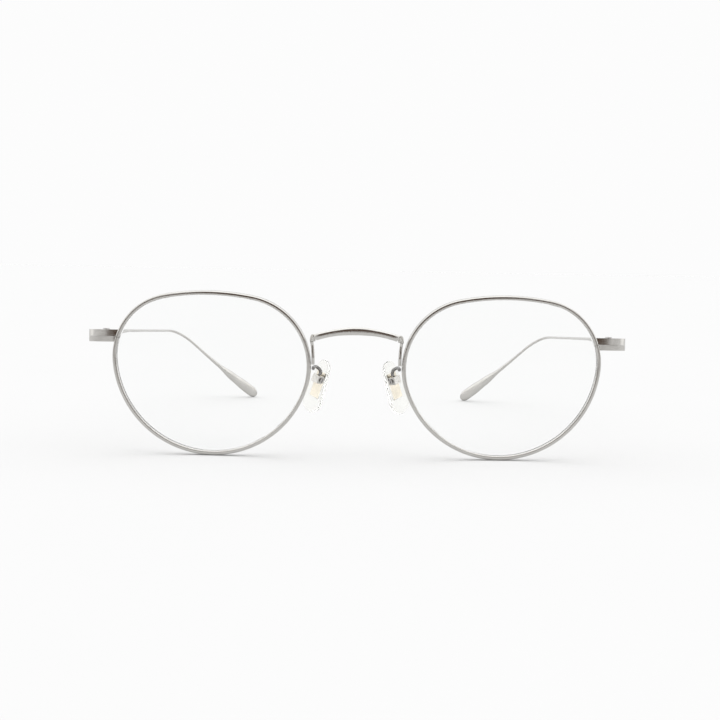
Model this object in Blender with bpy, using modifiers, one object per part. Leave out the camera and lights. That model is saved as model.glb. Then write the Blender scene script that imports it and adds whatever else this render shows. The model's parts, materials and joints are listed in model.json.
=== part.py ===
"""Round wire eyeglasses, standing on their rims and on the tips of their open temples.

Units are metres. +X is the wearer's left, -Y is the front, +Z is up, and z = 0 is the surface that the
glasses stand on. Both sides come from the same functions: side is +1 for the wearer's left, -1 for the
right. Points are given for the left side, and side mirrors them.
"""

import math

import bmesh
import bpy
from mathutils import Matrix, Vector

MM = 0.001

# The front as a whole: it leans forward at the top, and each eye turns back a little at its outer side.
FRONT_Y = -65.8 * MM
FRONT_LEAN = math.radians(5.4)
EYE_X = 35.7 * MM
EYE_HEIGHT = 20.0 * MM
EYE_TURN = math.radians(3.0)
BASE_RADIUS = 125.0 * MM            # sphere that rims and lenses follow

# Eye shape along the middle of the rim wire: four arcs about centres (x, z) from the eye's own centre.
BOTTOM_CENTRE, BOTTOM_RADIUS = (-0.25 * MM, 4.6 * MM), 24.1 * MM
TOP_CENTRE, TOP_RADIUS = (0.4 * MM, -35.6 * MM), 55.8 * MM
OUTER_RADIUS = 15.6 * MM
NASAL_RADIUS = 16.9 * MM
SHAPE_STEP = 2.4 * MM

# Cutters reach this far past what they cut; edges sharper than this angle stay sharp.
THROUGH = 2.0 * MM
SHARP_ANGLE = math.radians(35)
SAME_PLACE = 0.001 * MM

# Rim wire and lens edge.
RIM_WIDTH = 1.0 * MM
RIM_DEPTH = 1.9 * MM
RIM_EDGE = 0.2 * MM
GROOVE_WIDTH = 0.9 * MM
GROOVE_DEPTH = 0.45 * MM
RIM_SLIT = 0.2 * MM
LENS_THICKNESS = 1.4 * MM
LENS_GAP = 0.1 * MM
LENS_RIDGE = 0.42 * MM
LENS_RIDGE_WIDTH = 0.8 * MM

# Bridge strap, in the front's own axes.
BRIDGE_HEIGHT = 31.7 * MM
BRIDGE_ARCH_RADIUS = 31.0 * MM
BRIDGE_BAR_HALF = 9.2 * MM
BRIDGE_BAR_Y = -0.75 * MM
BAR_TALL, BAR_END_TALL, BAR_THICK = 1.9 * MM, 1.56 * MM, 1.0 * MM
BAR_EVEN_HALF = 5.0 * MM            # from here outwards the bar keeps its end height
BRIDGE_CHAMFER = 0.25

# Beyond the bar the strap turns back and then down beside the rim:
# (x, y, z) in mm, the direction of its tall side, height and thickness.
BRIDGE_LEG = (
    ((10.1, -0.5, 29.97), (0, 0, 1), 1.56 * MM, 0.85 * MM),
    ((10.75, 0.15, 29.75), (0, 0.3, 1), 1.5 * MM, 0.75 * MM),
    ((10.95, 0.66, 29.2), (0, 1, 1), 1.45 * MM, 0.75 * MM),
    ((10.82, 0.84, 28.2), (0, 1, 0.2), 1.45 * MM, 0.75 * MM),
    ((10.65, 0.86, 26.6), (0, 1, 0), 1.45 * MM, 0.75 * MM),
    ((10.56, 0.85, 25.0), (0, 1, 0), 1.45 * MM, 0.75 * MM),
    ((10.56, 0.85, 23.2), (0, 1, 0), 1.45 * MM, 0.75 * MM),
)

# Lock block and hinge, about the hinge axis: x outwards, y back along the temple, z up the axis.
HINGE_X, HINGE_Y, HINGE_Z = 63.2 * MM, 8.8 * MM, 28.75 * MM
TEMPLE_DROOP = math.radians(2.95)
TEMPLE_TOE_IN = math.radians(1.75)
BLOCK_INNER, BLOCK_OUTER = 1.2 * MM, 2.5 * MM
BLOCK_FRONT, BLOCK_BACK = -8.6 * MM, -6.1 * MM
BLOCK_RIM_END = -6.2 * MM
BLOCK_CORNER, BLOCK_FILLET = 1.8 * MM, 0.6 * MM
BLOCK_HALF_HEIGHT = 1.5 * MM
SEAM_Z = -0.15 * MM
SEAM_GAP = 0.05 * MM
SEAM_RISE = 8.75 * MM                # the same seam, above the eye's centre
UPPER_BACK_END = -0.1 * MM
LOWER_BACK_END = -5.3 * MM
BLOCK_RIM_GAP = 0.05 * MM
EYE_CUT_Y, EYE_CUT_DEEP = 3.0 * MM, 12.0 * MM

LOCK_SCREW_X, LOCK_SCREW_Y = -1.3 * MM, -7.35 * MM
LOCK_SCREW_RADIUS, LOCK_HEAD_RADIUS, LOCK_HEAD_HEIGHT = 0.5 * MM, 0.9 * MM, 0.45 * MM
LOCK_SCREW_TOP = 0.8 * MM
SCREW_GAP = 0.06 * MM
SLOT_WIDTH, SLOT_DEPTH = 0.22 * MM, 0.16 * MM
HEAD_CHAMFER = 0.12 * MM

KNUCKLE_RADIUS = 1.0 * MM
KNUCKLE_CLEAR = 1.2 * MM
LEAF_INNER, LEAF_OUTER, LEAF_LENGTH = 0.2 * MM, 1.15 * MM, 4.0 * MM
LEAF_BOTTOM, LEAF_TOP = -1.4 * MM, 1.45 * MM
MIDDLE_KNUCKLE_HALF = 0.45 * MM
KNUCKLE_GAP = 0.05 * MM
HINGE_SCREW_RADIUS, HINGE_HEAD_RADIUS, HINGE_HEAD_HEIGHT = 0.5 * MM, 0.82 * MM, 0.32 * MM

# Temple. Its top edge is straight up to WIRE_START, and its wire runs on from there.
TEMPLE_START = 0.1 * MM
TEMPLE_TOP = 1.5 * MM
TEMPLE_BUTT_THICK = 1.3 * MM
WIRE_START, WIRE_THICK = 33.0 * MM, 0.8 * MM
# Distance from the butt, height, thickness, and how many sections lie between it and the one before.
TEMPLE_SIZES = (
    (0.0, 3.0 * MM, TEMPLE_BUTT_THICK, 0),
    (4.0 * MM, 3.0 * MM, TEMPLE_BUTT_THICK, 1),
    (14.0 * MM, 2.0 * MM, 1.15 * MM, 3),
    (24.0 * MM, 1.15 * MM, 0.95 * MM, 3),
    (WIRE_START, WIRE_THICK, WIRE_THICK, 2),
    (83.0 * MM, WIRE_THICK, WIRE_THICK, 4),
    (110.0 * MM, WIRE_THICK, WIRE_THICK, 9),
    (120.5 * MM, 1.2 * MM, 0.95 * MM, 3),
    (129.5 * MM, 2.9 * MM, 1.1 * MM, 4),
    (135.5 * MM, 3.6 * MM, 1.2 * MM, 3),
    (139.4 * MM, 3.6 * MM, 1.15 * MM, 2),
    (142.0 * MM, 3.6 * MM, 1.15 * MM, 4),
)
TEMPLE_LENGTH = TEMPLE_SIZES[-1][0]
TIP_ROUND = 2.6 * MM
TIP_LEAST = 0.25
WALK_STEP = 0.5 * MM
BEND_START, BEND_LENGTH, DROP_LATER = 83.4 * MM, 22.1 * MM, 3.8 * MM
EAR_INWARD = math.radians(30.1)
EAR_INWARD_MORE = math.radians(14.7)
EAR_DOWN = math.radians(30.85)
TEMPLE_CHAMFER = 0.29

# Pad arm route, in the front's own axes, and the pad about its screw: x across, y to the nose, z along.
PAD_ARM_RADIUS = 0.42 * MM
PAD_ARM_ROUTE = ((10.46, 0.1, 22.3), (10.44, 1.4, 22.35), (10.15, 2.75, 22.3), (9.7, 4.1, 21.9),
                 (9.15, 5.3, 21.2), (8.9, 5.95, 20.4), (9.08, 6.05, 19.65))
PAD_PIVOT = (9.4 * MM, 6.2 * MM, 18.6 * MM)
PAD_SPLAY = math.radians(45.0)
PAD_TILT = math.radians(18.0)
PAD_BOX = (2.2 * MM, 1.85 * MM, 1.9 * MM)
PAD_BOX_Y = -0.275 * MM
PAD_BOX_SLOT, PAD_BOX_WALL = 0.9 * MM, 0.35 * MM
PAD_SCREW_RADIUS, PAD_SCREW_HEAD, PAD_SCREW_HEAD_HEIGHT = 0.33 * MM, 0.62 * MM, 0.28 * MM
POST_THICK, POST_RADIUS = 0.8 * MM, 0.72 * MM
PAD_CENTRE = (1.0 * MM, 1.6 * MM, -2.3 * MM)
PAD_THICK = 1.2 * MM
PAD_LOW_RADIUS, PAD_LOW_Z = 3.4 * MM, -3.4 * MM
PAD_HIGH_RADIUS, PAD_HIGH_Z = 2.3 * MM, 4.7 * MM
PAD_ARC_STEPS = 10
# The pad's sections from its back to the side that meets the nose: how far inside its outline, and y.
PAD_LAYERS = ((0.8 * MM, -0.6 * MM), (0.25 * MM, -0.48 * MM), (0.0, -0.15 * MM), (0.12 * MM, 0.25 * MM),
              (0.6 * MM, 0.5 * MM), (1.6 * MM, 0.66 * MM))
INSERT_SIZE = (3.2 * MM, 0.35 * MM, 6.6 * MM)
INSERT_X, INSERT_Z = 0.6 * MM, -1.6 * MM
INSERT_GAP = 0.05 * MM
POCKET_DEEP = 1.0 * MM

TITANIUM = ((0.50, 0.48, 0.45, 1.0), 0.32, 1.0)
DARK_TITANIUM = ((0.30, 0.28, 0.26, 1.0), 0.35, 1.0)
SCREW_STEEL = ((0.42, 0.41, 0.40, 1.0), 0.28, 1.0)
PALE_GOLD = ((0.80, 0.70, 0.48, 1.0), 0.30, 1.0)
CLEAR_LENS = ((0.95, 0.97, 0.97, 1.0), 0.03, 0.0)
CLEAR_PAD = ((0.93, 0.94, 0.92, 1.0), 0.12, 0.0)


# ---------------------------------------------------------------- scene, materials and placing

def new_collection(name):
    collection = bpy.data.collections.new(name)
    bpy.context.scene.collection.children.link(collection)
    return collection


for old in list(bpy.data.objects):
    bpy.data.objects.remove(old, do_unlink=True)
PARTS = new_collection("round_wire_eyeglasses")
CUTTERS = new_collection("cutters")


def give_material(obj, look):
    colour, roughness, metallic = look
    material = bpy.data.materials.new(obj.name)
    material.use_nodes = True
    shader = material.node_tree.nodes["Principled BSDF"]
    shader.inputs["Base Color"].default_value = colour
    shader.inputs["Roughness"].default_value = roughness
    shader.inputs["Metallic"].default_value = metallic
    material.diffuse_color = colour
    obj.data.materials.clear()
    obj.data.materials.append(material)


def add_part(name, data, parent, look, matrix=None):
    obj = bpy.data.objects.new(name, data)
    PARTS.objects.link(obj)
    obj.parent = parent
    if matrix is not None:
        obj.matrix_local = matrix
    give_material(obj, look)
    return obj


def make_cutter(obj):
    for collection in list(obj.users_collection):
        collection.objects.unlink(obj)
    CUTTERS.objects.link(obj)
    obj.hide_render = True
    obj.display_type = "WIRE"
    return obj


def empty(name, location, turn=None, parent=None):
    obj = bpy.data.objects.new(name, None)
    PARTS.objects.link(obj)
    obj.empty_display_size = 4 * MM
    obj.parent = parent
    obj.matrix_local = Matrix.Translation(location) @ (turn or Matrix())
    return obj


def on_side(side, point):
    return Vector((side * point[0], point[1], point[2]))


# ---------------------------------------------------------------- modelling helpers

def mesh_from(mesh):
    """Close a bmesh into mesh data, with its faces pointing out and its round sides smooth."""
    bmesh.ops.recalc_face_normals(mesh, faces=mesh.faces)
    data = bpy.data.meshes.new("shape")
    mesh.to_mesh(data)
    mesh.free()
    data.shade_smooth()
    data.set_sharp_from_angle(angle=SHARP_ANGLE)
    return data


def loft(rings):
    """A skin over rings of equally many points, capped at both ends."""
    mesh = bmesh.new()
    loops = [[mesh.verts.new(point) for point in ring] for ring in rings]
    for near, far in zip(loops, loops[1:]):
        for k in range(len(near)):
            after = (k + 1) % len(near)
            mesh.faces.new((near[k], near[after], far[after], far[k]))
    caps = [mesh.faces.new(loops[0]), mesh.faces.new(loops[-1])]
    bmesh.ops.poke(mesh, faces=caps)
    return mesh_from(mesh)


def extruded(outline, thickness):
    """A flat outline of (x, y) points as a closed plate about z = 0."""
    curve = bpy.data.curves.new("outline", "CURVE")
    curve.dimensions = "2D"
    curve.fill_mode = "BOTH"
    curve.extrude = thickness / 2
    spline = curve.splines.new("POLY")
    spline.points.add(len(outline) - 1)
    for point, (x, y) in zip(spline.points, outline):
        point.co = (x, y, 0, 1)
    spline.use_cyclic_u = True
    flat = bpy.data.objects.new("outline", curve)
    PARTS.objects.link(flat)
    evaluated = flat.evaluated_get(bpy.context.evaluated_depsgraph_get())
    data = bpy.data.meshes.new_from_object(evaluated)
    bpy.data.objects.remove(flat, do_unlink=True)
    mesh = bmesh.new()
    mesh.from_mesh(data)
    bmesh.ops.remove_doubles(mesh, verts=mesh.verts, dist=SAME_PLACE)
    return mesh_from(mesh)


def block(size, centre=(0, 0, 0)):
    mesh = bmesh.new()
    bmesh.ops.create_cube(mesh, size=1.0, matrix=Matrix.Translation(centre) @ Matrix.Diagonal((*size, 1)))
    return mesh_from(mesh)


def cylinder(radius, low, high, centre=(0, 0), sides=24):
    mesh = bmesh.new()
    middle = Matrix.Translation((centre[0], centre[1], (low + high) / 2))
    bmesh.ops.create_cone(mesh, cap_ends=True, segments=sides, radius1=radius, radius2=radius,
                          depth=high - low, matrix=middle)
    return mesh_from(mesh)


def turned(name, profile, parent, look, matrix=None):
    """A turned piece: its (radius, z) profile runs from the top of the axis to the bottom."""
    mesh = bmesh.new()
    verts = [mesh.verts.new((radius, 0, z)) for radius, z in profile]
    for upper, lower in zip(verts, verts[1:]):
        mesh.edges.new((upper, lower))
    data = bpy.data.meshes.new(name)
    mesh.to_mesh(data)
    mesh.free()
    obj = add_part(name, data, parent, look, matrix)
    screw = obj.modifiers.new("turn", "SCREW")
    screw.steps = screw.render_steps = 24
    screw.use_merge_vertices = True
    screw.merge_threshold = SAME_PLACE
    return obj


def screwdriver_slot(head_radius, face_z):
    return block((2 * head_radius + SLOT_WIDTH, SLOT_WIDTH, 2 * SLOT_DEPTH), (0, 0, face_z))


def boolean(obj, data, operation="DIFFERENCE", parent=None, matrix=None):
    """Cut obj by another closed shape, or join it on; the shape shares obj's place by default."""
    other = bpy.data.objects.new(obj.name + "." + operation.lower(), data)
    make_cutter(other)
    other.parent = parent or obj.parent
    other.matrix_local = matrix or (Matrix() if parent else obj.matrix_local)
    modifier = obj.modifiers.new(operation.lower(), "BOOLEAN")
    modifier.operation = operation
    modifier.object = other
    return obj


def arc(centre, radius, start, end, steps):
    """Points on a circle from angle start to angle end, both included."""
    angles = [start + (end - start) * k / steps for k in range(steps + 1)]
    return [(centre[0] + radius * math.cos(a), centre[1] + radius * math.sin(a)) for a in angles]


def smooth_route(points, steps):
    """A Catmull-Rom curve through the points, with steps pieces between each two."""
    route = [Vector(p) for p in points]
    ends = [2 * route[0] - route[1]] + route + [2 * route[-1] - route[-2]]
    result = []
    for a, b, c, d in zip(ends, ends[1:], ends[2:], ends[3:]):
        for k in range(steps):
            t = k / steps
            result.append(0.5 * (2 * b + (c - a) * t + (2 * a - 5 * b + 4 * c - d) * t ** 2
                                 + (3 * b - a - 3 * c + d) * t ** 3))
    return result + [route[-1]]


def strap_ring(centre, along, up, tall, thick, chamfer):
    """Eight points round a strap: tall in the direction nearest to up, thick across it."""
    along = along.normalized()
    tall_way = (up - along * up.dot(along)).normalized()
    thick_way = along.cross(tall_way)
    cut = chamfer * min(tall, thick)
    h, w = tall / 2, thick / 2
    corners = ((w, h - cut), (w - cut, h), (cut - w, h), (-w, h - cut),
               (-w, cut - h), (cut - w, -h), (w - cut, -h), (w, cut - h))
    return [centre + thick_way * a + tall_way * b for a, b in corners]


# ---------------------------------------------------------------- eye shape

def corner_centre(radius, side):
    """Centre of a corner arc that runs smoothly into the bottom and top arcs."""
    bottom, top = Vector(BOTTOM_CENTRE), Vector(TOP_CENTRE)
    to_bottom, to_top = BOTTOM_RADIUS - radius, TOP_RADIUS - radius
    gap = (top - bottom).length
    along = (to_bottom ** 2 - to_top ** 2 + gap ** 2) / (2 * gap)
    unit = (top - bottom) / gap
    off = Vector((-unit.y, unit.x)) * math.sqrt(to_bottom ** 2 - along ** 2)
    choices = (bottom + unit * along + off, bottom + unit * along - off)
    return max(choices, key=lambda centre: side * centre.x)


def eye_arcs():
    """The arcs round the eye from the seam, over the top and back: (centre, radius, start, end)."""
    bottom, top = Vector(BOTTOM_CENTRE), Vector(TOP_CENTRE)
    outer, nasal = corner_centre(OUTER_RADIUS, 1), corner_centre(NASAL_RADIUS, -1)
    seam = math.asin((SEAM_RISE - outer.y) / OUTER_RADIUS)
    slit = RIM_SLIT / 2 / OUTER_RADIUS
    turn = 2 * math.pi

    def heading(start, end):
        step = end - start
        return math.atan2(step.y, step.x) % turn

    from_nasal = heading(bottom, nasal)
    to_outer = from_nasal + (heading(bottom, outer) - from_nasal) % turn
    return (
        (outer, OUTER_RADIUS, seam + slit, heading(top, outer)),
        (top, TOP_RADIUS, heading(top, outer), heading(top, nasal)),
        (nasal, NASAL_RADIUS, heading(top, nasal), from_nasal),
        (bottom, BOTTOM_RADIUS, from_nasal, to_outer),
        (outer, OUTER_RADIUS, to_outer, seam - slit + turn),
    )


def eye_outline(offset=0.0, scale=1.0):
    """(x, z) points round the eye, from above the seam to below it, moved outwards by offset."""
    points = []
    for centre, radius, start, end in eye_arcs():
        steps = max(1, round(radius * (end - start) / SHAPE_STEP))
        points += arc(centre, radius + offset, start, end, steps)[(1 if points else 0):]
    return [(x * scale, z * scale) for x, z in points]


def sag(x, z):
    return (x * x + z * z) / (2 * BASE_RADIUS)


def make_rim(name, side, eye):
    section = bpy.data.curves.new(name + "_section", "CURVE")
    section.dimensions = "2D"
    half, deep = RIM_WIDTH / 2, RIM_DEPTH / 2
    outline = ((half, RIM_EDGE - deep), (half, deep - RIM_EDGE), (half - RIM_EDGE, deep), (-half, deep),
               (-half, GROOVE_WIDTH / 2), (GROOVE_DEPTH - half, 0), (-half, -GROOVE_WIDTH / 2),
               (-half, -deep), (half - RIM_EDGE, -deep))
    spline = section.splines.new("POLY")
    spline.points.add(len(outline) - 1)
    for point, (x, y) in zip(spline.points, reversed(outline)):
        point.co = (x, y, 0, 1)
    spline.use_cyclic_u = True
    guide = make_cutter(bpy.data.objects.new(name + "_section", section))

    wire = bpy.data.curves.new(name, "CURVE")
    wire.dimensions = "3D"
    wire.twist_mode = "Z_UP"
    wire.bevel_mode = "OBJECT"
    wire.bevel_object = guide
    wire.use_fill_caps = True
    spline = wire.splines.new("POLY")
    points = eye_outline()[::side]
    spline.points.add(len(points) - 1)
    for point, (x, z) in zip(spline.points, points):
        point.co = (side * x, z, -sag(x, z), 1)
    return add_part(name, wire, eye, TITANIUM, Matrix.Rotation(math.pi / 2, 4, "X"))


def make_lens(name, side, eye):
    body = -RIM_WIDTH / 2 - LENS_GAP
    ridge = body + LENS_RIDGE
    half, flank = LENS_THICKNESS / 2, LENS_RIDGE_WIDTH / 2
    layers = ((body, 0.5, -half), (body, 1.0, -half), (body, 1.0, -flank), (ridge, 1.0, 0.0),
              (body, 1.0, flank), (body, 1.0, half), (body, 0.5, half))
    rings = []
    for offset, scale, depth in layers:
        ring = eye_outline(offset, scale)
        rings.append([on_side(side, (x, sag(x, z) + depth, z)) for x, z in ring])
    return add_part(name, loft(rings), eye, CLEAR_LENS)


# ---------------------------------------------------------------- bridge

def make_bridge(front):
    """Half of the strap, open at the middle plane, and a Mirror."""
    stations = []
    for k in range(5):
        x = BRIDGE_BAR_HALF * k / 4
        share = min(1.0, x / BAR_EVEN_HALF)
        tall = BAR_TALL + (BAR_END_TALL - BAR_TALL) * share ** 2
        z = BRIDGE_HEIGHT - x * x / (2 * BRIDGE_ARCH_RADIUS)
        stations.append(((x, BRIDGE_BAR_Y, z), (0, 0, 1), tall, BAR_THICK))
    stations += [(Vector(place) * MM, up, tall, thick) for place, up, tall, thick in BRIDGE_LEG]
    steps = 2
    centres = smooth_route([centre for centre, _, _, _ in stations], steps)
    rings = []
    for k, centre in enumerate(centres):
        first = min(k // steps, len(stations) - 2)
        share = k / steps - first
        _, up, tall, thick = stations[first]
        _, next_up, next_tall, next_thick = stations[first + 1]
        up = Vector(up).lerp(Vector(next_up), share)
        tall += (next_tall - tall) * share
        thick += (next_thick - thick) * share
        before, after = centres[max(k - 1, 0)], centres[min(k + 1, len(centres) - 1)]
        along = Vector((1, 0, 0)) if k == 0 else after - before
        rings.append(strap_ring(centre, along, up, tall, thick, BRIDGE_CHAMFER))
    mesh = bmesh.new()
    mesh.from_mesh(loft(rings))
    middle = [face for face in mesh.faces if all(abs(vert.co.x) < SAME_PLACE for vert in face.verts)]
    bmesh.ops.delete(mesh, geom=middle, context="FACES")
    loose = [vert for vert in mesh.verts if not vert.link_faces]
    bmesh.ops.delete(mesh, geom=loose, context="VERTS")
    data = bpy.data.meshes.new("bridge")
    mesh.to_mesh(data)
    mesh.free()
    bridge = add_part("bridge", data, front, TITANIUM)
    mirror = bridge.modifiers.new("mirror", "MIRROR")
    mirror.merge_threshold = SAME_PLACE
    mirror.use_clip = True
    return bridge


# ---------------------------------------------------------------- lock block and hinge

def block_outline(side, back_end):
    """Plan of a lock-block half: out from the rim, round the corner and back to back_end."""
    corner = (BLOCK_OUTER - BLOCK_CORNER, BLOCK_FRONT + BLOCK_CORNER)
    inside = (BLOCK_INNER - BLOCK_FILLET, BLOCK_BACK + BLOCK_FILLET)
    outline = [(BLOCK_RIM_END, BLOCK_FRONT)]
    outline += arc(corner, BLOCK_CORNER, -math.pi / 2, 0, 6)
    outline += [(BLOCK_OUTER, back_end), (BLOCK_INNER, back_end)]
    outline += arc(inside, BLOCK_FILLET, 0, -math.pi / 2, 3)
    outline += [(BLOCK_RIM_END, BLOCK_BACK)]
    return [(side * x, y) for x, y in outline]


def cut_for_rim(obj, side, eye):
    """Take the eye out of a block, so its end follows the rim's outer side."""
    outline = [(side * x, z) for x, z in eye_outline(RIM_WIDTH / 2 + BLOCK_RIM_GAP)]
    upright = Matrix.Translation((0, EYE_CUT_Y, 0)) @ Matrix.Rotation(math.pi / 2, 4, "X")
    boolean(obj, extruded(outline, EYE_CUT_DEEP), parent=eye, matrix=upright)


def make_lock_block(side, label, hinge, eye):
    upper_low = SEAM_Z + SEAM_GAP / 2
    upper_high = BLOCK_HALF_HEIGHT
    lower_low, lower_high = -BLOCK_HALF_HEIGHT, SEAM_Z - SEAM_GAP / 2
    screw_place = (side * LOCK_SCREW_X, LOCK_SCREW_Y)

    upper = add_part("endpiece_upper_" + label,
                     extruded(block_outline(side, UPPER_BACK_END), upper_high - upper_low),
                     hinge, TITANIUM, Matrix.Translation((0, 0, (upper_low + upper_high) / 2)))
    cut_for_rim(upper, side, eye)
    boolean(upper, cylinder(LOCK_SCREW_RADIUS + SCREW_GAP, upper_low - THROUGH, LOCK_SCREW_TOP + SCREW_GAP,
                            screw_place), parent=hinge)

    lower = add_part("endpiece_lower_" + label,
                     extruded(block_outline(side, LOWER_BACK_END), lower_high - lower_low),
                     hinge, TITANIUM, Matrix.Translation((0, 0, (lower_low + lower_high) / 2)))
    cut_for_rim(lower, side, eye)
    boolean(lower, cylinder(LOCK_SCREW_RADIUS + SCREW_GAP, lower_low - THROUGH, lower_high + THROUGH,
                            screw_place), parent=hinge)
    recess = lower_low + LOCK_HEAD_HEIGHT + SCREW_GAP
    boolean(lower, cylinder(LOCK_HEAD_RADIUS + SCREW_GAP, lower_low - THROUGH, recess, screw_place),
            parent=hinge)

    head_low, head_high = lower_low, lower_low + LOCK_HEAD_HEIGHT
    profile = ((0, LOCK_SCREW_TOP), (LOCK_SCREW_RADIUS, LOCK_SCREW_TOP), (LOCK_SCREW_RADIUS, head_high),
               (LOCK_HEAD_RADIUS, head_high), (LOCK_HEAD_RADIUS, head_low), (0, head_low))
    place = Matrix.Translation((*screw_place, 0))
    screw = turned("rim_lock_screw_" + label, profile, hinge, SCREW_STEEL, place)
    boolean(screw, screwdriver_slot(LOCK_HEAD_RADIUS, head_low), parent=hinge, matrix=place)


def leaf_outline(side, back):
    """Plan of a hinge leaf: a knuckle with a plate; back is +1 for the temple's, -1 for the front's."""
    tangent = math.acos(KNUCKLE_RADIUS / LEAF_OUTER)
    plate_side = 2 * math.pi - math.acos(LEAF_INNER / KNUCKLE_RADIUS)
    outline = [(LEAF_OUTER, 0)] + arc((0, 0), KNUCKLE_RADIUS, tangent, plate_side, 16)
    outline += [(LEAF_INNER, -LEAF_LENGTH), (LEAF_OUTER, -LEAF_LENGTH)]
    return [(side * x, -back * y) for x, y in outline]


def make_leaf(name, side, back, parent, gaps):
    height = LEAF_TOP - LEAF_BOTTOM
    middle = (LEAF_TOP + LEAF_BOTTOM) / 2
    leaf = add_part(name, extruded(leaf_outline(side, back), height), parent, TITANIUM,
                    Matrix.Translation((0, 0, middle)))
    for low, high in gaps:
        boolean(leaf, cylinder(KNUCKLE_CLEAR, low, high), parent=parent)
    boolean(leaf, cylinder(HINGE_SCREW_RADIUS + SCREW_GAP, LEAF_BOTTOM - THROUGH, LEAF_TOP + THROUGH),
            parent=parent)
    return leaf


def make_hinge(side, label, hinge, swing):
    clear = MIDDLE_KNUCKLE_HALF + KNUCKLE_GAP
    make_leaf("hinge_front_leaf_" + label, side, -1, hinge, ((-clear, clear),))
    make_leaf("hinge_temple_leaf_" + label, side, 1, swing,
              ((MIDDLE_KNUCKLE_HALF, LEAF_TOP + THROUGH), (LEAF_BOTTOM - THROUGH, -MIDDLE_KNUCKLE_HALF)))
    head_low = LEAF_TOP + KNUCKLE_GAP
    head_high = head_low + HINGE_HEAD_HEIGHT
    profile = ((0, head_high), (HINGE_HEAD_RADIUS - HEAD_CHAMFER, head_high),
               (HINGE_HEAD_RADIUS, head_high - HEAD_CHAMFER), (HINGE_HEAD_RADIUS, head_low),
               (HINGE_SCREW_RADIUS, head_low), (HINGE_SCREW_RADIUS, LEAF_BOTTOM), (0, LEAF_BOTTOM))
    screw = turned("hinge_screw_" + label, profile, hinge, SCREW_STEEL)
    boolean(screw, screwdriver_slot(HINGE_HEAD_RADIUS, head_high), parent=hinge)


# ---------------------------------------------------------------- temple

def ease(share):
    share = min(max(share, 0.0), 1.0)
    return share * share * (3 - 2 * share)


def temple_size(distance):
    """Height and thickness at a distance from the butt, with a rounded tip."""
    for (start, tall, thick, _), (end, next_tall, next_thick, _) in zip(TEMPLE_SIZES, TEMPLE_SIZES[1:]):
        if distance <= end:
            share = ease((distance - start) / (end - start))
            height = tall + (next_tall - tall) * share
            thickness = thick + (next_thick - thick) * share
            break
    to_tip = TEMPLE_LENGTH - distance
    if to_tip < TIP_ROUND:
        round_off = math.sqrt(max(1 - (1 - to_tip / TIP_ROUND) ** 2, 0.0))
        height *= max(round_off, TIP_LEAST)
        thickness *= (1 + round_off) / 2
    return height, thickness


def temple_direction(distance):
    """Along the temple: straight back, then eased inwards and down, then a little more inwards."""
    bend = ease((distance - BEND_START) / BEND_LENGTH)
    after = max(0.0, distance - BEND_START - BEND_LENGTH) / (TEMPLE_LENGTH - BEND_START - BEND_LENGTH)
    inward = EAR_INWARD * bend + EAR_INWARD_MORE * after
    down = EAR_DOWN * ease((distance - BEND_START - DROP_LATER) / BEND_LENGTH)
    return Vector((-math.sin(inward) * math.cos(down), math.cos(inward) * math.cos(down), -math.sin(down)))


def temple_distances():
    """Where the temple's sections lie: close together where it changes, far apart where it is straight."""
    distances = [0.0]
    for (start, _, _, _), (end, _, _, count) in zip(TEMPLE_SIZES, TEMPLE_SIZES[1:]):
        distances += [start + (end - start) * k / count for k in range(1, count + 1)]
    return distances


def make_temple(name, side, swing):
    point = Vector((BLOCK_INNER + TEMPLE_BUTT_THICK / 2, TEMPLE_START, 0))
    rings = []
    walked = 0.0
    for distance in temple_distances():
        steps = math.ceil((distance - walked) / WALK_STEP)
        for k in range(steps):
            middle = walked + (distance - walked) * (k + 0.5) / steps
            point = point + temple_direction(middle) * (distance - walked) / steps
        walked = distance
        height, thickness = temple_size(distance)
        below_top = height / 2 if distance < WIRE_START else WIRE_THICK / 2
        centre = point + Vector((0, 0, TEMPLE_TOP - below_top))
        ring = strap_ring(centre, temple_direction(distance), Vector((0, 0, 1)), height, thickness,
                          TEMPLE_CHAMFER)
        rings.append([on_side(side, corner) for corner in ring])
    return add_part(name, loft(rings), swing, TITANIUM)


# ---------------------------------------------------------------- nose pads

def make_pad_arm(name, side, front):
    curve = bpy.data.curves.new(name, "CURVE")
    curve.dimensions = "3D"
    curve.bevel_depth = PAD_ARM_RADIUS
    curve.bevel_resolution = 1
    curve.use_fill_caps = True
    route = smooth_route([on_side(side, point) * MM for point in PAD_ARM_ROUTE], 3)
    spline = curve.splines.new("POLY")
    spline.points.add(len(route) - 1)
    for point, place in zip(spline.points, route):
        point.co = (*place, 1)
    return add_part(name, curve, front, DARK_TITANIUM)


def drop_outline(shrink):
    """(x, z) points round the pad: a large low arc and a small high arc, with straight sides."""
    lean = math.asin((PAD_LOW_RADIUS - PAD_HIGH_RADIUS) / (PAD_HIGH_Z - PAD_LOW_Z))
    high = arc((0, PAD_HIGH_Z), PAD_HIGH_RADIUS - shrink, lean, math.pi - lean, PAD_ARC_STEPS)
    low = arc((0, PAD_LOW_Z), PAD_LOW_RADIUS - shrink, math.pi - lean, 2 * math.pi + lean, PAD_ARC_STEPS)
    return high + low


def pad_screw_turn(side):
    return Matrix.Rotation(-side * math.pi / 2, 4, "Y")


def pad_screw_bore():
    return cylinder(PAD_SCREW_RADIUS + SCREW_GAP, -THROUGH, THROUGH, sides=16)


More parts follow.
